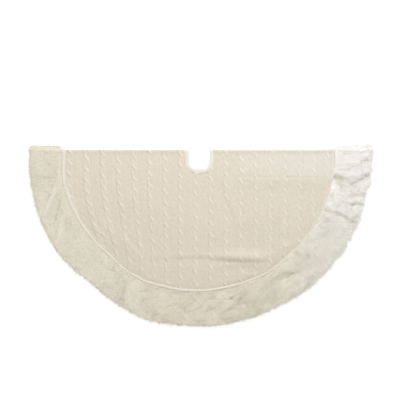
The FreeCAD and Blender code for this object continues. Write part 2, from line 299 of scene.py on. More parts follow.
def creases(x, y, rows):
    """Height of the ridges and valleys along short lines."""
    total = np.zeros_like(x)
    for x0, y0, x1, y1, width, height in rows:
        dx, dy = x1 - x0, y1 - y0
        along = np.clip(((x - x0) * dx + (y - y0) * dy) / (dx * dx + dy * dy), 0, 1)
        away = np.hypot(x - x0 - along * dx, y - y0 - along * dy)
        fading = 0.25 + 0.75 * ramp(along, 0, 0.3) * (1 - ramp(along, 0.7, 1))
        total += height * MM * fading * np.exp(-((away / (width * MM)) ** 2))
    return total


def from_centre(x, y):
    """Distance from the round's centre; along the short straight ends it is simply |x|."""
    return np.where(y > -OFFSET, np.abs(x), np.hypot(x, y + OFFSET))


def station_of(x, y):
    """Degrees round from the left end; the straight ends count as 0 and 180."""
    return np.degrees(np.arctan2(np.maximum(-(y + OFFSET), 0), -x))


def from_hole(x, y):
    """Distance outside the trunk hole's edge."""
    across = np.abs(x) - (HOLE_HALF - HOLE_CORNER)
    down = -y - (HOLE_DEPTH - HOLE_CORNER)
    outside = np.hypot(np.maximum(across, 0), np.maximum(down, 0))
    return outside + np.minimum(np.maximum(across, down), 0) - HOLE_CORNER


def stray(x, y, layer):
    """Flat points moved in or out as the seam and outer edge stray from a circle.

    The back layer keeps its seam, and its edge only draws in, so that it stays hidden.
    """
    radius, station = from_centre(x, y), np.clip(station_of(x, y), 0, 180)
    seam = np.interp(station, *zip(*SEAM_DRIFT)) * MM
    edge = np.interp(station, *zip(*EDGE_DRIFT)) * MM
    if layer == BACK:
        seam, edge = 0, np.minimum(edge, 0) - BACK_DRAWN_IN
    at_seam = ramp(radius, SEAM - 0.12, SEAM - 0.01) * (1 - ramp(radius, SEAM + 0.01, OUTER))
    shift = seam * at_seam + edge * ramp(radius, OUTER - 0.05, OUTER)
    straight = y > -OFFSET
    run = np.maximum(np.hypot(x, y + OFFSET), MM)
    along_x = np.where(straight, np.sign(x), x / run)
    along_y = np.where(straight, 0, (y + OFFSET) / run)
    return x + shift * along_x, y + shift * along_y


def fold_reach(x):
    """How far the front layer's pile bulges past the fold."""
    return np.interp(x, *zip(*FOLD_REACH)) * MM


def lay(x, y, height, layer):
    """Flat points put in place, turned over the fold where they come within FOLD_BEND of it."""
    x, y = stray(x, y, layer)
    reach = 0
    if layer == FRONT:
        reach = fold_reach(x) * np.clip((height - BACKING) / FRONT_PILE, 0, 1)
    turn = np.clip(-y / FOLD_BEND, 0, 1) * math.pi / 2
    past = np.clip(y, 0, BACK_MOST)
    placed_y = np.where(y > -FOLD_BEND, -FOLD_BEND + (height + reach) * np.cos(turn), y)
    lift = height * np.sin(turn) - past
    return np.stack([x, placed_y, FOLD_Z + layer * lift], axis=-1).reshape(-1, 3)


def unrolled(y, bend):
    """Distance towards the fold measured along the surface, where it turns over by `bend`."""
    return np.where(y > -FOLD_BEND, -FOLD_BEND + (y + FOLD_BEND) * bend, y)


def cable_relief(x, y):
    """Two strands of each cable wound round each other, with fine ribs between the cables.

    Towards the lower left the cloth is dragged sideways, and the cables lean with it.
    """
    drag = CABLE_DRAG * ramp(-y, 0.02, 0.45) * ramp(-x, 0.05, 0.45) * (-y - 0.02)
    pulled = x - np.maximum(drag, 0)
    pitch = CABLE_PITCH + CABLE_SPREAD * pulled
    column = np.round((pulled - CABLE_START) / pitch)
    off = pulled - CABLE_START - column * pitch
    phase = 2 * math.pi * y / CABLE_TURN + math.pi / 2 * (column % 2) + CABLE_LAG * column
    relief = np.zeros_like(x)
    for strand in (0, math.pi):
        centre = -CABLE_SWING * np.tanh(CABLE_SNAP * np.sin(phase + strand))
        round_top = np.sqrt(np.maximum(STRAND**2 - (off - centre) ** 2, 0)) / STRAND
        over = np.cos(phase + strand)
        swell = STRAND_RISE + OVER_RISE * np.maximum(over, 0) ** 3
        swell = swell - UNDER_DROP * np.maximum(-over, 0) ** 2
        relief = np.maximum(relief, round_top * swell)
    gutter = GUTTER_DEPTH * np.exp(-(((np.abs(off) - GUTTER_OFF) / GUTTER_WIDTH) ** 2))
    ribs = RIB_RISE * np.cos(2 * math.pi * off / RIB_PITCH) * ramp(np.abs(off), 11 * MM, 14 * MM)
    return relief - gutter + ribs


def knit_height(x, y, layer):
    """Outer face of the knit: cables, a roll along the fold and, in front, drape and creases."""
    radius, station = from_centre(x, y), station_of(x, y)
    tucked = ramp(SEAM - radius, 1 * MM, 9 * MM)
    bound = ramp(from_hole(x, y), 9 * MM, 16 * MM)
    at_fold = 0.25 + 0.75 * ramp(-y, 0, FOLD_BEND)
    cables = cable_relief(x, layer * y) * tucked * bound * at_fold
    fold_roll = 1.8 * MM * (1 - ramp(-y, 0, 20 * MM)) * bound
    height = KNIT_REST + cables + fold_roll
    if layer == BACK:
        ease = 0.25 * MM * smooth_noise(x, y, 90 * MM, 3)
        return np.minimum(height + ease, BACK_MOST)
    drape = 0.8 * MM * smooth_noise(x, y, 140 * MM, 1) + 0.35 * MM * smooth_noise(x, y, 50 * MM, 2)
    turned_up = 4.0 * MM * ramp(x, 0.03, 0.20) * ramp(-y, 0, 0.092) * (1 - ramp(-y, 0.096, 0.150))
    soft = (drape + turned_up + creases(x, y, KNIT_CREASES)) * ramp(-y, 0, 12 * MM)
    pulled_in = ramp(station, 55, 66) * (1 - ramp(station, 128, 140))
    groove = 2.2 * MM * pulled_in * np.exp(-(((SEAM - radius - 5 * MM) / (8 * MM)) ** 2))
    return np.maximum(height + soft * bound - groove, KNIT_LEAST)


def fur_height(x, y, layer):
    """Height of the hairs' roots: the border's rounded section and, in front, lumps and pleats."""
    radius, station = from_centre(x, y), station_of(x, y)
    share = np.clip((radius - FUR_INNER) / (FUR_OUTER - FUR_INNER), 0, 1)
    from_inner = np.minimum(share / INNER_ROUND, 1)
    from_outer = np.maximum(share - (1 - OUTER_ROUND), 0) / OUTER_ROUND
    rise = np.sqrt(np.clip(1 - (1 - from_inner) ** 2, 0, 1))
    fall = np.sqrt(np.clip(1 - from_outer**2, 0, 1))
    shape = (0.25 + 0.75 * rise) * (0.15 + 0.85 * fall)
    if layer == BACK:
        lumps = 0.5 * MM * smooth_noise(x, y, 22 * MM, 13)
        return np.clip(BACKING + (BACK_PILE + lumps) * shape, BACKING, BACK_MOST - 1 * MM)
    lumps = 3.4 * MM * smooth_noise(x, y, 45 * MM, 11) + 3.0 * MM * smooth_noise(x, y, 18 * MM, 12)
    arc = np.radians(station) * radius + 10 * MM * smooth_noise(x, y, 40 * MM, 14)
    gathers = 1.9 * MM * (1 - 0.5 * ramp(station, 120, 150))
    lumps = lumps + gathers * smooth_noise(arc, 0.4 * radius, 12 * MM, 15)
    lively = 0.35 + 0.95 * ramp(station, 40, 100)
    pleats = PLEAT_DEPTH * creases(x, y, FUR_CREASES)
    raised = np.maximum((FRONT_PILE + lumps * lively + pleats) * shape, LEAST_PILE)
    return BACKING + LEAST_PILE + FRONT_ROOM * np.tanh(raised / FRONT_ROOM)


def border_point(station, radius):
    """Flat place of a station and radius of the border; past 0 and 180 it runs straight."""
    angle = np.radians(180 + np.clip(station, 0, 180))
    over = np.maximum(-station, 0) + np.maximum(station - 180, 0)
    x = radius * np.cos(angle)
    y = -OFFSET + radius * np.sin(angle) + over / STRAIGHT * OFFSET
    return x, np.minimum(y, 0)


# ======== meshes ========

def add_object(name, data):
    """A new object in the scene."""
    obj = bpy.data.objects.new(name, data)
    bpy.context.scene.collection.objects.link(obj)
    return obj


def make_mesh(name, points, quads, tris=(), *, finish, flip=False, **attributes):
    """A smooth mesh object from points, four-sided and three-sided faces, and point attributes."""
    quads = np.asarray(quads, np.int32).reshape(-1, 4)
    tris = np.asarray(tris, np.int32).reshape(-1, 3)
    if flip:
        quads, tris = quads[:, ::-1], tris[:, ::-1]
    mesh = bpy.data.meshes.new(name)
    mesh.vertices.add(len(points))
    mesh.vertices.foreach_set("co", np.asarray(points, np.float32).ravel())
    corners = np.concatenate([quads.ravel(), tris.ravel()])
    starts = np.concatenate([np.arange(len(quads)) * 4, quads.size + np.arange(len(tris)) * 3])
    mesh.loops.add(len(corners))
    mesh.loops.foreach_set("vertex_index", corners)
    mesh.polygons.add(len(starts))
    mesh.polygons.foreach_set("loop_start", starts.astype(np.int32))
    mesh.update(calc_edges=True)
    mesh.shade_smooth()
    for key, values in attributes.items():
        made = mesh.attributes.new(key, "FLOAT", "POINT")
        made.data.foreach_set("value", np.asarray(values, np.float32))
    mesh.materials.append(finish)
    return add_object(name, mesh)


def grid_quads(rows, columns):
    """Faces of a grid of points stored row by row."""
    first = (np.arange(rows - 1)[:, None] * columns + np.arange(columns - 1)).ravel()
    return np.stack([first, first + 1, first + columns + 1, first + columns], axis=1)


def ring_quads(rings, around):
    """Faces that join closed rings of points, each ring to the next."""
    start, ring = np.arange(rings - 1)[:, None] * around, np.arange(around)
    first, second = (start + ring).ravel(), (start + (ring + 1) % around).ravel()
    return np.stack([first, second, second + around, first + around], axis=1)


def used_only(quads):
    """Numbers of the points that faces use, and the faces renumbered to match."""
    used, numbers = np.unique(quads, return_inverse=True)
    return used, numbers.reshape(quads.shape)


def fold_rows(step, far):
    """Flat y of a panel's rows: close together round the fold, then evenly spaced."""
    bend = -np.linspace(0, FOLD_BEND, 7)
    return np.concatenate([bend, np.arange(-FOLD_BEND - step, -far - step, -step)])


def panel(name, side, edge, margin, steps, height_of, finish):
    """A sheet over the round inside `edge`, open at the hole up to `margin` from its edge."""
    layer = side["layer"]
    low, high = max(side["low_x"], -edge), min(side["high_x"], edge)
    xs = np.linspace(low, high, int(round((high - low) / steps[0])) + 1)
    ys = fold_rows(steps[1], edge + OFFSET)
    x, y = np.meshgrid(xs, ys)
    radius = from_centre(x, y)
    outside = radius > edge
    gone = outside | (from_hole(x, y) < margin)
    curved = outside & (y <= -OFFSET)
    pull = np.where(curved, edge / np.maximum(radius, edge), 1)
    x = np.clip(np.where(outside, x * pull, x), side["low_x"], side["high_x"])
    y = np.where(curved, (y + OFFSET) * pull - OFFSET, y)
    quads = grid_quads(len(ys), len(xs))
    keep = ~gone.ravel()[quads].all(axis=1)
    points = lay(x, y, height_of(x, y, layer), layer)
    # Painted highlight: the yarn is made paler on the tops of the cables' crossings.
    raised = np.clip(cable_relief(x, layer * y).ravel() / CABLE_TOP, 0, 1) ** 3
    # Painted light: the upper right of each panel near the fold is paler and cooler, where the cool
    # key light falls.
    cool = 0.3 * (ramp(x, 0.0, 0.4) * ramp(y, -0.16, -0.06)).ravel()
    used, quads = used_only(quads[keep])
    return make_mesh(name, points[used], quads, finish=finish, flip=layer == FRONT,
                     raised=raised[used], cool=cool[used])


# ======== materials ========

class Nodes:
    """Short calls for building a material's nodes."""

    def __init__(self, name, roughness, specular, sheen):
        self.material = bpy.data.materials.new(name)
        self.material.use_nodes = True
        self.tree = self.material.node_tree
        self.shader = next(n for n in self.tree.nodes if n.type == "BSDF_PRINCIPLED")
        self.shader.inputs["Roughness"].default_value = roughness
        self.shader.inputs["Specular IOR Level"].default_value = specular
        self.shader.inputs["Sheen Weight"].default_value = sheen
        self.place = self.tree.nodes.new("ShaderNodeTexCoord").outputs["Object"]

    def feed(self, socket, value):
        """Links a node's output to the socket, or sets a plain value."""
        if isinstance(value, bpy.types.NodeSocket):
            self.tree.links.new(value, socket)
        else:
            socket.default_value = value

    def math(self, operation, *values):
        node = self.tree.nodes.new("ShaderNodeMath")
        node.operation = operation
        for socket, value in zip(node.inputs, values):
            self.feed(socket, value)
        return node.outputs[0]

    def axes(self):
        """The place on the cloth, as x, y and z."""
        node = self.tree.nodes.new("ShaderNodeSeparateXYZ")
        self.tree.links.new(self.place, node.inputs[0])
        return node.outputs

    def noise(self, size, detail=2.0):
        node = self.tree.nodes.new("ShaderNodeTexNoise")
        self.tree.links.new(self.place, node.inputs["Vector"])
        node.inputs["Scale"].default_value = 1 / size
        node.inputs["Detail"].default_value = detail
        return node.outputs["Fac"]

    def attribute(self, name):
        node = self.tree.nodes.new("ShaderNodeAttribute")
        node.attribute_name = name
        return node.outputs["Fac"]

    def mix(self, share, low, high):
        """A colour from low, at share 0, to high, at share 1."""
        node = self.tree.nodes.new("ShaderNodeMix")
        node.data_type = "RGBA"
        self.feed(node.inputs[0], share)
        self.feed(node.inputs[6], low)
        self.feed(node.inputs[7], high)
        return node.outputs[2]

    def bump(self, height, distance, strength):
        node = self.tree.nodes.new("ShaderNodeBump")
        node.inputs["Strength"].default_value = strength
        node.inputs["Distance"].default_value = distance
        self.feed(node.inputs["Height"], height)
        self.tree.links.new(node.outputs["Normal"], self.shader.inputs["Normal"])

    def colour(self, value):
        """Sets the base colour, which finishes the material."""
        self.feed(self.shader.inputs["Base Color"], value)
        return self.material


def wave(nodes, value, period):
    """A cosine from 0 to 1 of a position, repeating each `period`."""
    turned = nodes.math("COSINE", nodes.math("MULTIPLY", value, 2 * math.pi / period))
    return nodes.math("MULTIPLY_ADD", turned, 0.5, 0.5)


def knit_material():
    """Ivory yarn in stocking stitch: rows of small V shapes, with a mottled, slightly fuzzy tone,
    painted highlights on the cables' crossings and the loops, and painted light on the upper right
    near the fold.
    """
    nodes = Nodes("cable_knit", roughness=0.85, specular=0.25, sheen=0.25)
    x, y = nodes.axes()[0], nodes.axes()[1]
    side = nodes.math("PINGPONG", x, STITCH_WIDTH / 2)
    slanted = nodes.math("MULTIPLY_ADD", side, STITCH_SLANT, y)
    leg = nodes.math("SUBTRACT", 1.0, wave(nodes, x, STITCH_WIDTH / 2))
    row = nodes.math("MULTIPLY_ADD", wave(nodes, slanted, STITCH_HEIGHT), 0.6, 0.4)
    loops = nodes.math("MULTIPLY", leg, row)
    nodes.bump(nodes.math("MULTIPLY_ADD", nodes.noise(0.9 * MM, 3.0), 0.5, loops), 0.6 * MM, 0.7)
    yarn = nodes.mix(nodes.noise(60 * MM), YARN_DEEP, YARN_MIDDLE)
    yarn = nodes.mix(nodes.noise(9 * MM, 3.0), yarn, YARN_FLECK)
    # painted highlight on the tops of the cables' crossings
    yarn = nodes.mix(nodes.math("MULTIPLY", nodes.attribute("raised"), 0.7), yarn, YARN_HIGHLIGHT)
    # painted light on the upper right near the fold
    yarn = nodes.mix(nodes.attribute("cool"), yarn, YARN_UPPER_RIGHT_LIGHT)
    # painted highlight on the stitches' loops, painted shade between them
    return nodes.colour(nodes.mix(nodes.math("MULTIPLY", loops, 0.25), yarn, YARN_HIGHLIGHT))


def fur_body_material():
    """The dense underfur: fine clumped noise, with painted highlight on its tops."""
    nodes = Nodes("fur_body", roughness=0.95, specular=0.1, sheen=0.3)
    fine = nodes.noise(3 * MM, 4.0)
    nodes.bump(fine, 1.6 * MM, 0.8)
    tone = nodes.mix(nodes.noise(35 * MM), UNDERFUR_DEEP, UNDERFUR_MIDDLE)
    # painted highlight on the raised tops of the fine noise
    return nodes.colour(nodes.mix(fine, tone, UNDERFUR_HIGHLIGHT))


def fur_hair_material():
    """Single hairs: a little deeper in tone at the root and paler at the tip, no two the same."""
    nodes = Nodes("fur_hair", roughness=0.7, specular=0.3, sheen=0.3)
    # The tone attribute carries painted shade round the bottom middle and in the pleats' valleys, and
    # painted highlight on their ridges, besides random tone.
    root = nodes.mix(nodes.attribute("tone"), ROOT_DEEP, ROOT_LIGHT)
    tip = nodes.mix(nodes.attribute("tone"), TIP_DEEP, TIP_LIGHT)
    hair = nodes.mix(nodes.attribute("tip"), root, tip)
    # Painted light and shade: the pale attribute lightens the hairs on the upper right, the rim and
    # the pleats' ridges, less in their valleys, besides each strip's own paler share.
    paler_and_painted_light = nodes.math("MULTIPLY", nodes.attribute("pale"), 0.9)
    return nodes.colour(nodes.mix(paler_and_painted_light, hair, HAIR_PALE))


def woven_material(name, low, high, pitch, roughness, sheen):
    """Plain weave of a thread pitch, over and under in both directions."""
    nodes = Nodes(name, roughness=roughness, specular=0.35, sheen=sheen)
    warp, weft = wave(nodes, nodes.axes()[0], pitch), wave(nodes, nodes.axes()[1], pitch)
    over = nodes.math("ABSOLUTE", nodes.math("SUBTRACT", warp, weft))
    nodes.bump(over, 0.15 * MM, 0.7)
    tone = nodes.mix(nodes.noise(45 * MM), low, high)
    # painted highlight on the raised threads of the weave
    return nodes.colour(nodes.mix(nodes.math("MULTIPLY", over, 0.2), tone, WEAVE_HIGHLIGHT))


def thread_material():
    """Twisted sewing thread."""
    nodes = Nodes("sewing_thread", roughness=0.5, specular=0.4, sheen=0.2)
    twist = wave(nodes, nodes.math("ADD", nodes.axes()[0], nodes.axes()[1]), 1.0 * MM)
    nodes.bump(twist, 0.1 * MM, 0.5)
    # painted highlight on the twist's ridges, painted shade in its grooves
    return nodes.colour(nodes.mix(twist, THREAD_SHADE, THREAD_HIGHLIGHT))


def piping_material():
    """The piping's slightly wrinkled cover."""
    nodes = Nodes("piping_cover", roughness=0.75, specular=0.3, sheen=0.4)
    wrinkle = nodes.noise(4 * MM, 3.0)
    nodes.bump(wrinkle, 0.6 * MM, 0.6)
    # painted highlight on the wrinkles' tops, painted shade in their folds
    return nodes.colour(nodes.mix(wrinkle, PIPING_SHADE, PIPING_HIGHLIGHT))


def tape_material(name, tuft, roughness):
    """Hook or loop tape: a fine field of hooks or loops."""
    nodes = Nodes(name, roughness=roughness, specular=0.4, sheen=0.2)
    rows, columns = wave(nodes, nodes.axes()[0], tuft), wave(nodes, nodes.axes()[1], tuft)
    dots = nodes.math("MULTIPLY", rows, columns)
    nodes.bump(nodes.math("ADD", dots, nodes.noise(tuft / 2)), 0.5 * MM, 0.8)
    # painted highlight on the raised hooks or loops, painted shade between them
    return nodes.colour(nodes.mix(dots, TAPE_SHADE, TAPE_HIGHLIGHT))


MATERIALS = {
    "knit": knit_material(),
    "fur_body": fur_body_material(),
    "fur_hair": fur_hair_material(),
    "lining": woven_material("lining_weave", LINING_DEEP, LINING_LIGHT, 0.7 * MM, 0.55, 0.1),
    "binding": woven_material("binding_weave", BINDING_DEEP, BINDING_LIGHT, 0.8 * MM, 0.75, 0.2),
    "label": woven_material("label_satin", LABEL_DEEP, LABEL_LIGHT, 0.4 * MM, 0.4, 0.1),
    "thread": thread_material(),
    "piping": piping_material(),
    "hook": tape_material("hook_tape", 1.4 * MM, 0.5),
    "loop": tape_material("loop_tape", 1.0 * MM, 0.9),
}


# ======== pieces ========

def belong(obj, side, slot, *nodes):
    """The piece rides on its side's body and stands for nodes, which it hides; `slot` is not used."""
    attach(obj, side["body"])
    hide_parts(*nodes)


def knit(title, side):
    """The knit cloth of a side; it also stands for the interfacing, which nothing shows of."""
    edge = SEAM - 0.5 * MM
    obj = panel(f"{title}_knit_cloth", side, edge, margin=4 * MM, steps=(1.9 * MM, 2.4 * MM),
                height_of=knit_height, finish=MATERIALS["knit"])
    gores = [f"{title}_knit_{gore}" for gore in side["gores"]]
    belong(obj, side, "knit", *gores, f"{title}_interfacing")


def lining_height(x, y, layer):
    """Inner face of a side, eased a little; both layers are the same, so layer isn't used."""
    ease = 0.22 * MM * smooth_noise(x, y, 45 * MM, 21) + 0.12 * MM * smooth_noise(x, y, 20 * MM, 22)
    return GAP + 0.05 * MM + ease * ramp(-y, 0, 10 * MM)


def lining(title, side):
    """The lining of a side, up to the hem behind the fur."""
    edge = OUTER - 5 * HEM
    obj = panel(f"{title}_lining_cloth", side, edge, margin=10 * MM, steps=(7 * MM, 7 * MM),
                height_of=lining_height, finish=MATERIALS["lining"])
    belong(obj, side, "lining", f"{title}_lining")


def stations(side, step):
    """Stations along the whole seam of a side, up to the slit."""
    slit = math.degrees(SLIT / SEAM)
    start = 90 + slit if side["low_x"] > 0 else -STRAIGHT
    stop = 90 - slit if side["high_x"] < 0 else 180 + STRAIGHT
    return np.linspace(start, stop, int((stop - start) * math.radians(SEAM) / step))


def piping(title, side):
    """The pale roll of cloth between knit and fur, a little uneven along its length."""
    station = stations(side, 3 * MM)
    along = np.radians(station) * SEAM
    wobble = smooth_noise(along, along * 0, 30 * MM, 31)
    wide = tall = 0.94 * PIPE * (1 + 0.08 * wobble)
    middle = BACKING + PIPE
    if side["layer"] == FRONT:
        wide = np.interp(station, *zip(*PIPING_WIDTH)) * MM * (1 + 0.10 * wobble)
        tall = 1.9 * PIPE * (1 + 0.06 * wobble)
        middle = KNIT_REST
    x, y = border_point(station, SEAM + PIPE - wide)
    step = np.subtract(border_point(station, SEAM), border_point(station, SEAM - MM))
    normal_x, normal_y = step / MM
    turns = np.linspace(0, 2 * math.pi, PIPING_AROUND, endpoint=False)
    across = np.cos(turns) * wide[:, None]
    px = x[:, None] + normal_x[:, None] * across
    py = np.minimum(y[:, None] + normal_y[:, None] * across, 0)
    height = middle + np.sin(turns) * tall[:, None]
    points = lay(px, py, height, side["layer"])
    quads = ring_quads(len(station), PIPING_AROUND)
    obj = make_mesh(f"{title}_piping_roll", points, quads, finish=MATERIALS["piping"],
                    flip=side["layer"] == FRONT)
    belong(obj, side, "piping", f"{title}_piping")


def hole_path(side, step):
    """Flat points along the trunk hole's edge, with the direction away from the hole at each."""
    straight, level = HOLE_DEPTH - HOLE_CORNER, HOLE_HALF - HOLE_CORNER
    bend = math.pi / 2 * HOLE_CORNER
    length = 2 * (straight + level + bend)
    bend_rows = np.linspace(0, FOLD_BEND, 5)
    inner = np.arange(FOLD_BEND + step, length - FOLD_BEND - step / 2, step)
    run = np.concatenate([bend_rows, inner, length - bend_rows[::-1]])
    half = np.minimum(run, length - run)
    angle = np.clip((half - straight) / HOLE_CORNER, 0, math.pi / 2)
    x = level + HOLE_CORNER * np.cos(angle) - np.maximum(half - straight - bend, 0)
    y = -np.minimum(half, straight) - HOLE_CORNER * np.sin(angle)
    normal_x, normal_y = np.cos(angle), -np.sin(angle)
    sign = np.where(run < length / 2, -1.0, 1.0)
    x, normal_x = sign * x, sign * normal_x
    keep = (x >= side["low_x"]) & (x <= side["high_x"])
    return x[keep], y[keep], normal_x[keep], normal_y[keep]


def hole_binding(title, side):
    """Cloth folded over the hole's edge, a little puffed, held down by a line of stitches."""
    layer = side["layer"]
    away, up = np.transpose(BINDING_SECTION) * MM
    x, y, normal_x, normal_y = hole_path(side, 2.5 * MM)
    px = np.clip(x[:, None] + normal_x[:, None] * away, side["low_x"], side["high_x"])
    py = np.minimum(y[:, None] + normal_y[:, None] * away, 0)
    height = up + 0.15 * MM * smooth_noise(px, py, 8 * MM, 41)
    points = lay(px, py, height, layer)
    obj = make_mesh(f"{title}_hole_tape", points, grid_quads(*px.shape), finish=MATERIALS["binding"],
                    flip=layer == BACK)
    belong(obj, side, "binding", f"{title}_hole_binding")
    line = (x + normal_x * SEWN_OFF, y + normal_y * SEWN_OFF)
    sewn = stitches(f"{title}_hole_stitches", line, 4.25 * MM, side)


def stitches(name, line, height, side):
    """A row of short thread stitches along a flat line."""
    steps = np.hypot(np.diff(line[0]), np.diff(line[1]))
    run = np.concatenate([[0], np.cumsum(steps)])
    starts = np.arange(THREAD_PITCH / 2, run[-1] - THREAD_PITCH, THREAD_PITCH)
    shares, swell = np.transpose(THREAD_RINGS)
    at = (starts[:, None] + shares * THREAD_PITCH).ravel()
    x, y = np.interp(at, run, line[0]), np.interp(at, run, line[1])
    dx = np.interp(at + 0.2 * MM, run, line[0]) - np.interp(at - 0.2 * MM, run, line[0])
    dy = np.interp(at + 0.2 * MM, run, line[1]) - np.interp(at - 0.2 * MM, run, line[1])
    long = np.maximum(np.hypot(dx, dy), 1e-9)
    normal_x, normal_y = -dy / long, dx / long
    radii = np.tile(swell * THREAD_SIZE, len(starts))[:, None]
    turns = np.linspace(0, 2 * math.pi, THREAD_AROUND, endpoint=False)
    px = x[:, None] + normal_x[:, None] * np.cos(turns) * radii
    py = np.minimum(y[:, None] + normal_y[:, None] * np.cos(turns) * radii, 0)
    ph = height + np.sin(turns) * radii
    points = lay(px, py, ph, side["layer"])
    base = np.arange(len(starts))[:, None, None] * (THREAD_AROUND * len(shares))
    quads = (base + ring_quads(len(shares), THREAD_AROUND)).reshape(-1, 4)
    obj = make_mesh(name, points, quads, finish=MATERIALS["thread"], flip=side["layer"] == FRONT)
    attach(obj, side["body"])
    return obj


def strip_stations(start, stop):
    """Stations of a strip's sections, closer together where the strip turns over the fold."""
    station = np.linspace(start, stop, max(int((stop - start) * math.radians(OUTER) / STRIP_STEP), 8))
    if start < 0:
        turned = np.linspace(start, start + FOLD_STATIONS, 6)[:-1]
        station = np.concatenate([turned, station[station > start + FOLD_STATIONS]])
    if stop > 180:
        turned = np.linspace(stop - FOLD_STATIONS, stop, 6)[1:]
        station = np.concatenate([station[station < stop - FOLD_STATIONS], turned])
    return station


def fur_body(name, strip, side):
    """The dense body of a strip of fur, as one closed form."""
    layer = side["layer"]
    station = strip_stations(strip["start"], strip["stop"])
    share = np.concatenate([
        np.linspace(0, 0.12, 6)[:-1], np.linspace(0.12, 0.8, 24)[:-1], np.linspace(0.8, 1, 8),
    ])
    radius = FUR_INNER + share * (FUR_OUTER - FUR_INNER)
    x, y = border_point(*np.meshgrid(station, radius, indexing="ij"))
    x = np.clip(x, side["low_x"], side["high_x"])
    top = fur_height(x, y, layer) - ROOTS_OVER_BODY
    under = np.full((len(station), 2), BACKING)
    x = np.concatenate([x, x[:, -1:], x[:, :1]], axis=1)
    y = np.concatenate([y, y[:, -1:], y[:, :1]], axis=1)
    height = np.concatenate([top, under], axis=1)
    points = lay(x, y, height, layer)
    around = x.shape[1]
    quads = ring_quads(len(station), around)[:, [0, 3, 2, 1]]
    corner = np.arange(1, around - 1)
    near_end = np.stack([0 * corner, corner, corner + 1], axis=1)
    far_end = np.stack([0 * corner, corner + 1, corner], axis=1) + (len(station) - 1) * around
    return make_mesh(f"{name}_body", points, quads, np.concatenate([near_end, far_end]),
                     finish=MATERIALS["fur_body"], flip=layer == FRONT)


def fur_strip(name, strip, side, seed):
    """A strip of fur: its body, and hairs standing out of it."""
    body = fur_body(name, strip, side)
    belong(body, side, "fur", name)
    pile = fur_pile(f"{name}_pile", strip, side, seed)


def hair_roots(rng, start, stop, density):
    """Stations and radii of the hairs, with more of them where the pile turns over the fold."""
    area = (stop - start) * math.radians(1) * (FUR_OUTER**2 - FUR_INNER**2) / 2
    count = int(area * density)
    station = rng.uniform(start, stop, count)
    wrap = STRAIGHT * FOLD_BEND / OFFSET
    over = int((FUR_OUTER - FUR_INNER) * FOLD_WRAP * density)
    if start < 0:
        station = np.concatenate([station, rng.uniform(start, start + wrap, over)])
    if stop > 180:
        station = np.concatenate([station, rng.uniform(stop - wrap, stop, over)])
    return station, np.sqrt(rng.uniform(FUR_INNER**2, FUR_OUTER**2, len(station)))


def clump_middle(x, y):
    """Middle of the clump that a hair belongs to: a grid of places, each set off by noise."""
    column, row = np.floor(x / CLUMP), np.floor(y / CLUMP)
    off_x = 0.35 * smooth_noise(column * 7.3, row * 5.1, 1.0, 52)
    off_y = 0.35 * smooth_noise(column * 3.7, row * 9.2, 1.0, 53)
    return (column + 0.5 + off_x) * CLUMP, (row + 0.5 + off_y) * CLUMP


def hair_lean(rng, x, y, station, inner, turn):
    """Direction that each hair leans in: outwards with a swirl, and along the seam beside it."""
    count = len(x)
    swirl = turn + 0.5 * smooth_noise(x, y, 50 * MM, 51) + rng.normal(0, 0.22, count)
    swirl = swirl + inner * rng.uniform(0.9, 1.7, count) * rng.choice([-1, 1], count)
    angle = np.radians(180 + np.clip(station, 0, 180)) + swirl
    return np.cos(angle), np.sin(angle)


def hair_length(rng, x, y, station, rim, inner, layer):
    """Length of each hair and its rise per length; the rim is ragged with tufts."""
    ragged = (4 + 5 * ramp(station, 115, 150)) * MM
    tuft = ragged * (smooth_noise(x, y, 11 * MM, 54) + 0.6 * smooth_noise(x, y, 30 * MM, 55))
    length = HAIR_LENGTH * rng.uniform(0.65, 1.15, len(x)) * (1 - 0.35 * rim) * (1 - 0.5 * inner)
    length = length + tuft * rim
    rise = rng.uniform(0.05, 0.18, len(x)) * (1 - 0.9 * rim)
    if layer == BACK:
        return 0.9 * length, 0.25 * rise
    return length, rise


def hair_tones(rng, x, y, station, rim, paler, layer):
    """Tone of each hair, 0 deep to 1 light, and how far it is painted paler, 0 to 1."""
    # Painted shade: the hairs round the bottom middle, farthest from the lights, get a deeper tone.
    shaded_low_middle = ramp(station, 62, 80) * (1 - ramp(station, 100, 130))
    mottle = 0.40 * smooth_noise(x, y, 20 * MM, 57) + 0.35 * smooth_noise(x, y, 45 * MM, 58)
    # Painted light and shade of the pleats: their ridges give a lighter tone, their valleys a deeper
    # one.
    pleats = 0.10 * creases(x, y, FUR_CREASES) / MM * (layer == FRONT)
    tone = 0.6 * rng.uniform(0, 1, len(x)) + 0.4 * (1 - shaded_low_middle) + pleats
    tone = tone + mottle * ramp(station, 30, 70)
    # Painted light: the hairs of the upper right, where the lights fall, and of the outer rim are made
    # paler; the pleats' valleys are made less pale (painted shade) and their ridges away from the
    # middle paler (painted highlight).
    lit_upper_right = ramp(x, 0.14, 0.54) * ramp(y, -0.72, -0.05)
    pale = 0.95 * lit_upper_right + 0.85 * rim + paler + 1.1 * np.minimum(pleats, 0)
    pale = pale + 0.8 * np.maximum(pleats, 0) * ramp(np.abs(x), 0.20, 0.45)
    if layer == BACK:
        tone, pale = tone - 0.3, 0.75 * pale
    return np.clip(tone, 0, 1), np.clip(pale, 0, 1)


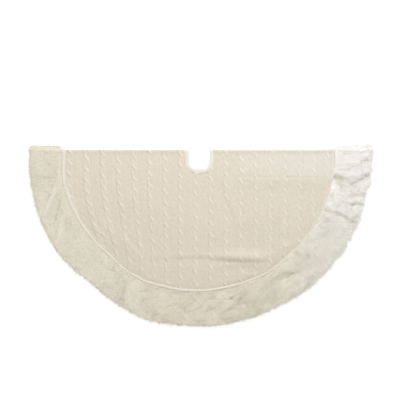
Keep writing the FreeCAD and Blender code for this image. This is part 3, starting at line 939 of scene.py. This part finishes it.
def fur_pile(name, strip, side, seed):
    """Flat tapering hairs that lean along the nap and gather into soft clumps."""
    layer = side["layer"]
    rng = np.random.default_rng(100 + seed)
    station, radius = hair_roots(rng, strip["start"], strip["stop"], HAIRS_PER_M2[layer])
    count = len(station)
    x, y = border_point(station, radius)
    root = fur_height(x, y, layer)
    rim = ramp(radius, FUR_OUTER - 14 * MM, FUR_OUTER)
    inner = 1 - ramp(radius, FUR_INNER + 2 * MM, FUR_INNER + 12 * MM)
    lean_x, lean_y = hair_lean(rng, x, y, station, inner, strip["turn"])
    length, rise = hair_length(rng, x, y, station, rim, inner, layer)

    # Tips and middles, in distances along the surface where it turns over the fold.
    reach = fold_reach(x) if layer == FRONT else 0
    bend = math.pi / 2 * (root + reach / 2) / FOLD_BEND
    along = unrolled(y, bend)
    clump_x, clump_y = clump_middle(x, y)
    gather = (0.2 + 0.5 * rim) * (1 - inner)
    tip_x = x + length * lean_x + gather * (clump_x - x)
    tip_along = along + length * lean_y + gather * (clump_y - y)
    tip_y = unrolled(tip_along, 1 / bend)
    mid_x, mid_y = (x + tip_x) / 2, unrolled((along + tip_along) / 2, 1 / bend)
    droop = np.maximum(from_centre(tip_x, tip_y) - FUR_OUTER, 0)
    over_surface = fur_height(tip_x, tip_y, layer) + 0.5 * length * rise
    tip_h = root + length * rise - 0.35 * droop
    tip_h = np.where(droop > 0, tip_h, np.maximum(tip_h, over_surface))
    arch = 0.02 if layer == BACK else 0.10 * (1 - rim)
    mid_h = np.maximum(root, fur_height(mid_x, mid_y, layer)) + length * (0.75 * rise + arch)

    # Each hair is a flat blade: a quad from root to middle and a triangle to the tip.
    roll = rng.uniform(-0.3, 0.3, count)
    wide = HAIR_WIDTH * rng.uniform(0.7, 1.2, count) / 2
    wx, wy, wh = -lean_y * np.cos(roll) * wide, lean_x * np.cos(roll) * wide, np.sin(roll) * wide
    wy = np.where(y > -FOLD_BEND, wy / bend, wy)
    sunk = root - ROOT_DEPTH
    px = np.stack([x - wx, x + wx, mid_x + 0.8 * wx, mid_x - 0.8 * wx, tip_x], axis=1)
    py = np.stack([y - wy, y + wy, mid_y + 0.8 * wy, mid_y - 0.8 * wy, tip_y], axis=1)
    ph = np.stack([sunk - wh, sunk + wh, mid_h + 0.8 * wh, mid_h - 0.8 * wh, tip_h], axis=1)
    least, most = HAIR_LIMITS[layer]
    ph = np.clip(ph, least, most)
    px = np.clip(px, side["low_x"], side["high_x"])
    points = lay(px, py, ph, layer)
    base = np.arange(count)[:, None] * px.shape[1]
    tone, pale = hair_tones(rng, x, y, station, rim, strip["paler"], layer)
    obj = make_mesh(name, points, base + np.array([0, 1, 2, 3]), base + np.array([3, 2, 4]),
                    finish=MATERIALS["fur_hair"], flip=layer == BACK,
                    tip=np.tile([0.0, 0.0, 0.5, 0.5, 1.0], count),
                    tone=np.repeat(tone, px.shape[1]), pale=np.repeat(pale, px.shape[1]))
    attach(obj, side["body"])
    return obj


def slit_facing(title, side):
    """The strip that faces the slit's edge on the lining side, with a line of stitches."""
    low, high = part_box(f"{title}_slit_facing")
    xs, ys = np.linspace(low.x, high.x, 9), np.arange(high.y, low.y, -8 * MM)
    x, y = np.meshgrid(xs, ys)
    turned_edge = 1 - ramp(np.minimum(x - low.x, high.x - x), 0, 3 * MM)
    height = GAP - 0.35 * MM + 0.3 * MM * turned_edge + 0.08 * MM * smooth_noise(x, y, 20 * MM, 61)
    points = lay(x, y, height, BACK)
    obj = make_mesh(f"{title}_facing_strip", points, grid_quads(*x.shape), finish=MATERIALS["binding"])
    belong(obj, side, "binding", f"{title}_slit_facing")
    sewn_x = low.x + 3 * MM if low.x < 0 else high.x - 3 * MM
    line = (np.full(len(ys), sewn_x), ys)
    sewn = stitches(f"{title}_facing_stitches", line, GAP - 0.5 * MM, side)


def tape_square(kind, spot, side):
    """A square of hook or loop tape with rounded corners, sewn on round its edge."""
    node = f"{kind}_patch_{spot}"
    low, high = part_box(node)
    middle, half = (low + high) / 2, (high.x - low.x) / 2
    faces_inwards = kind == "hook"
    base, tall = (low.z, high.z - low.z) if faces_inwards else (high.z, low.z - high.z)
    turn = np.linspace(0, 2 * math.pi, TAPE_AROUND, endpoint=False)
    circle = np.array([np.cos(turn), np.sin(turn)])
    x, y = np.sign(circle) * np.abs(circle) ** TAPE_CORNER
    rings = [
        np.stack([middle.x + half * size * x, middle.y + half * size * y,
                  np.full(TAPE_AROUND, base + tall * level)], axis=1)
        for size, level in TAPE_SECTION
    ]
    points = np.concatenate([*rings, [[middle.x, middle.y, base + tall]]])
    ring = np.arange(TAPE_AROUND)
    last = (len(rings) - 1) * TAPE_AROUND
    top_point = np.full(TAPE_AROUND, len(points) - 1)
    top = np.stack([last + ring, last + (ring + 1) % TAPE_AROUND, top_point], axis=1)
    bottom = np.stack([np.zeros(TAPE_AROUND - 2, int), ring[2:], ring[1:-1]], axis=1)
    obj = make_mesh(f"{kind}_square_{spot}", points, ring_quads(len(rings), TAPE_AROUND),
                    np.concatenate([top, bottom]), finish=MATERIALS[kind], flip=not faces_inwards)
    belong(obj, side, f"{kind}_tape", node)


def care_label(side):
    """A blank satin label, its free edge curling a little off the lining."""
    low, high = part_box("care_label")
    xs, ys = np.linspace(low.x, high.x, 20), np.linspace(high.y, low.y, 14)
    x, y = np.meshgrid(xs, ys)
    curl = ramp(high.y - y, 10 * MM, high.y - low.y) * 0.5 * MM
    points = np.stack([x, y, low.z + 0.1 * MM + curl], axis=-1).reshape(-1, 3)
    obj = make_mesh("care_label_cloth", points, grid_quads(*x.shape), finish=MATERIALS["label"])
    belong(obj, side, "label", "care_label")


def skirt():
    """Every piece of the skirt, side by side."""
    for title, side in SIDES.items():
        knit(title, side)
        lining(title, side)
        piping(title, side)
        hole_binding(title, side)
    for seed, (name, strip) in enumerate(FRONT_STRIPS.items()):
        fur_strip(name, strip, SIDES["front"], seed)
    for seed, (name, strip) in enumerate(BACK_STRIPS.items(), start=11):
        fur_strip(name, strip, SIDES[name.removesuffix("_fur")], seed)
    for title in ("back_left", "back_right"):
        slit_facing(title, SIDES[title])
    for spot in ("inner", "middle", "outer"):
        tape_square("loop", spot, SIDES["back_left"])
        tape_square("hook", spot, SIDES["back_right"])
    care_label(SIDES["back_left"])


# ======== stage, lights and camera ========

VIEW_WIDTH = 1.4096
VIEW_MIDDLE = (0.0025, -0.1755)
CAMERA_HEIGHT = 4.0
SENSOR = 36.0
FLOOR_SIDE = 12.0
FLOOR_DROP = 0.3 * MM
FLOOR_GLOW = 0.80
WORLD_STRENGTH = 0.42
LIT_POINT = (0, -0.25, 0)
LIGHTS = {
    "key": {"place": (1.0, 1.5, 1.5), "size": 0.8, "power": 16, "colour": (0.84, 0.94, 1.0)},
    "overhead": {"place": (-0.1, 1.5, 2.3), "size": 1.4, "power": 50, "colour": (1, 1, 1)},
    "fill": {"place": (0.0, -2.6, 0.7), "size": 1.6, "power": 14, "colour": (1, 1, 1)},
}


def stage():
    """A plain white floor that also glows a little, so that it stays white in the picture."""
    bpy.ops.mesh.primitive_plane_add(size=FLOOR_SIDE, location=(0, 0, -FLOOR_DROP))
    floor = bpy.context.object
    floor.name = "floor"
    nodes = Nodes("floor_white", roughness=1.0, specular=0.0, sheen=0.0)
    nodes.shader.inputs["Emission Color"].default_value = (1, 1, 1, 1)
    nodes.shader.inputs["Emission Strength"].default_value = FLOOR_GLOW
    floor.data.materials.append(nodes.colour(FLOOR_COLOUR))


def area_light(name, place, size, power, colour):
    """A square soft light turned towards the middle of the skirt."""
    data = bpy.data.lights.new(name, "AREA")
    data.shape = "SQUARE"
    data.size = size
    data.energy = power
    data.color = colour
    light = add_object(name, data)
    light.location = place
    aim = Vector(LIT_POINT) - Vector(place)
    light.rotation_euler = aim.to_track_quat("-Z", "Y").to_euler()


def lights():
    """The soft studio lights and an even white world."""
    for name, light in LIGHTS.items():
        area_light(name, **light)
    world = bpy.data.worlds.new("studio")
    bpy.context.scene.world = world
    world.use_nodes = True
    background = next(n for n in world.node_tree.nodes if n.type == "BACKGROUND")
    background.inputs["Color"].default_value = (1, 1, 1, 1)
    background.inputs["Strength"].default_value = WORLD_STRENGTH
    bpy.context.scene.view_settings.view_transform = "Standard"


def camera():
    """Straight above, through a long lens, with the fold line level."""
    data = bpy.data.cameras.new("camera")
    data.sensor_width = SENSOR
    data.lens = SENSOR * (CAMERA_HEIGHT - FOLD_Z) / VIEW_WIDTH
    eye = add_object("camera", data)
    eye.location = (*VIEW_MIDDLE, CAMERA_HEIGHT)
    bpy.context.scene.camera = eye


camera()
lights()
stage()
skirt()
